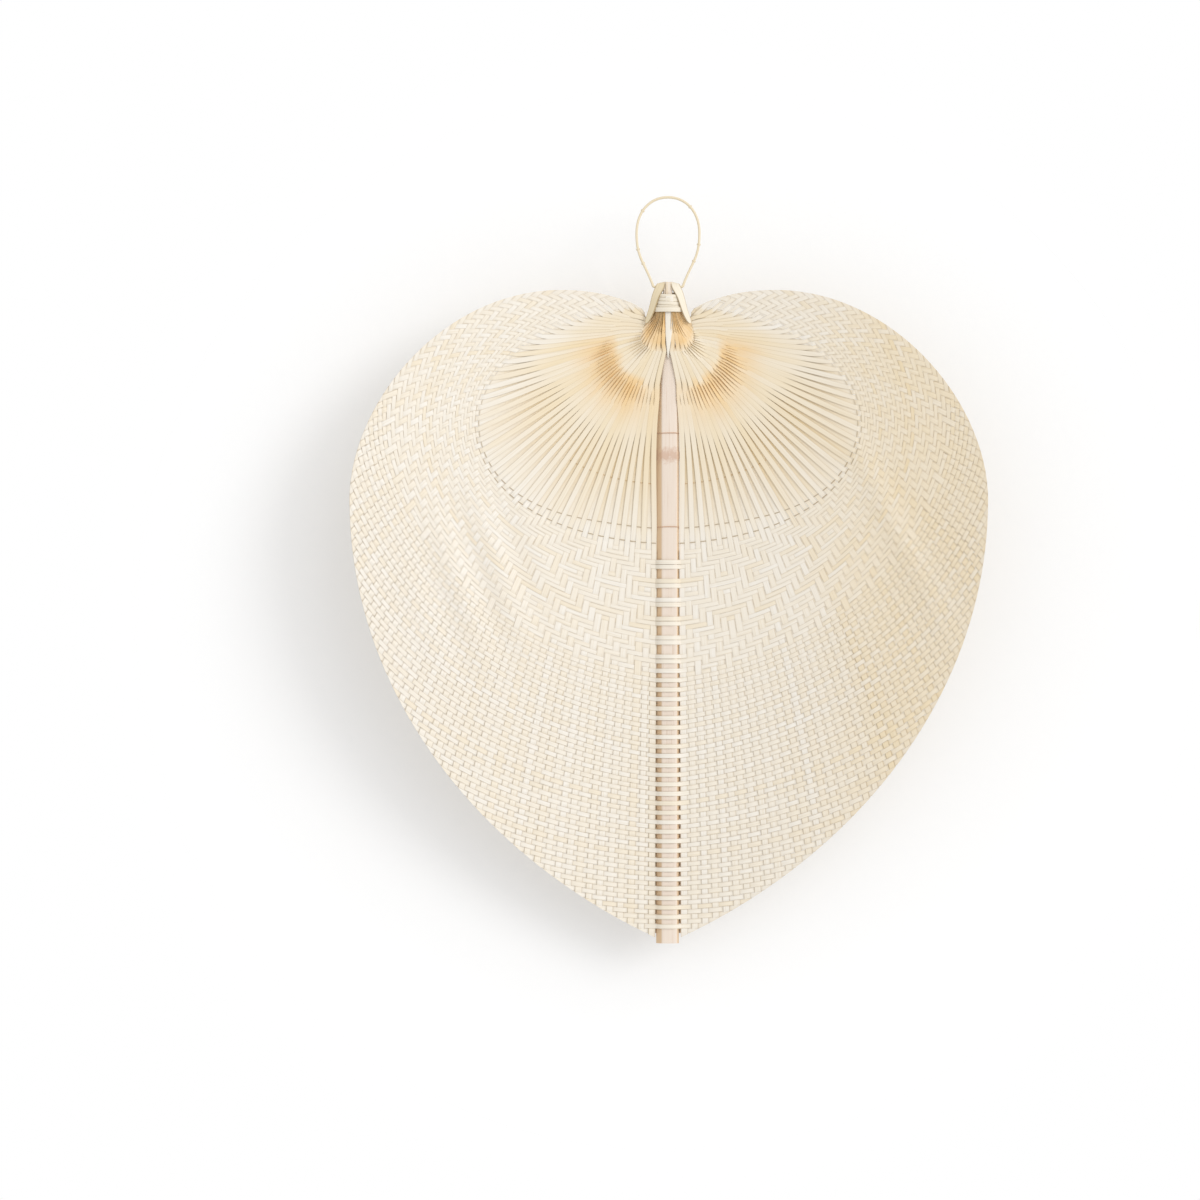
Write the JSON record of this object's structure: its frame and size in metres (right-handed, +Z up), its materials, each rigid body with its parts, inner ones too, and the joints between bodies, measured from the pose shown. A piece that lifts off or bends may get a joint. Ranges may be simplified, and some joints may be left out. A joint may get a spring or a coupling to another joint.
{
  "type": "woven bamboo hand fan",
  "caption": "Heart-shaped hand fan woven from split bamboo strips on a flat bamboo spine, gathered in a bound neck, with a bamboo loop that it hangs and swings from.",
  "frame": {"origin": "the inside of the hanging loop's top, where it rests on a peg", "axes": "+Z up along the spine, towards the loop; -Y out of the fan's hollow front; +X to the right from the front"},
  "size_m": [0.3, 0.0318, 0.3551],
  "materials": {
    "rib_strip": "split bamboo, unpolished",
    "weft_strip": "split bamboo, unpolished",
    "spine_stick": "planed bamboo stick",
    "binding_strip": "split bamboo ribbon",
    "loop_strip": "split bamboo, skin side out",
    "thread": "thin plain thread"
  },
  "bodies": {
    "hanger": {"hanging_loop": "loop_strip"},
    "fan": {"left_rib_bundle_01": "rib_strip", "left_rib_bundle_02": "rib_strip", "left_rib_bundle_03": "rib_strip", "left_rib_bundle_04": "rib_strip", "left_rib_bundle_05": "rib_strip", "left_rib_bundle_06": "rib_strip", "left_rib_bundle_07": "rib_strip", "left_rib_bundle_08": "rib_strip", "left_rib_bundle_09": "rib_strip", "left_rib_bundle_10": "rib_strip", "left_rib_bundle_11": "rib_strip", "left_rib_bundle_12": "rib_strip", "right_rib_bundle_01": "rib_strip", "right_rib_bundle_02": "rib_strip", "right_rib_bundle_03": "rib_strip", "right_rib_bundle_04": "rib_strip", "right_rib_bundle_05": "rib_strip", "right_rib_bundle_06": "rib_strip", "right_rib_bundle_07": "rib_strip", "right_rib_bundle_08": "rib_strip", "right_rib_bundle_09": "rib_strip", "right_rib_bundle_10": "rib_strip", "right_rib_bundle_11": "rib_strip", "right_rib_bundle_12": "rib_strip", "weft_band_01": "weft_strip", "weft_band_02": "weft_strip", "weft_band_03": "weft_strip", "weft_band_04": "weft_strip", "weft_band_05": "weft_strip", "weft_band_06": "weft_strip", "weft_band_07": "weft_strip", "weft_band_08": "weft_strip", "weft_band_09": "weft_strip", "weft_band_10": "weft_strip", "weft_band_11": "weft_strip", "weft_band_12": "weft_strip", "weft_band_13": "weft_strip", "weft_band_14": "weft_strip", "left_neck_strap": "binding_strip", "right_neck_strap": "binding_strip", "neck_binding": "binding_strip", "neck_wedge": "binding_strip", "left_twining_thread": "thread", "right_twining_thread": "thread", "upper_spine_tie": "thread", "lower_spine_tie": "thread", "spine": "spine_stick"}
  },
  "joints": [
    {"name": "fan_swing", "type": "hinge", "parent": "hanger", "child": "fan", "pos_m": [0, 0, -0.042], "axis": [1, 0, 0], "range_deg": [-75, 75]}
  ]
}
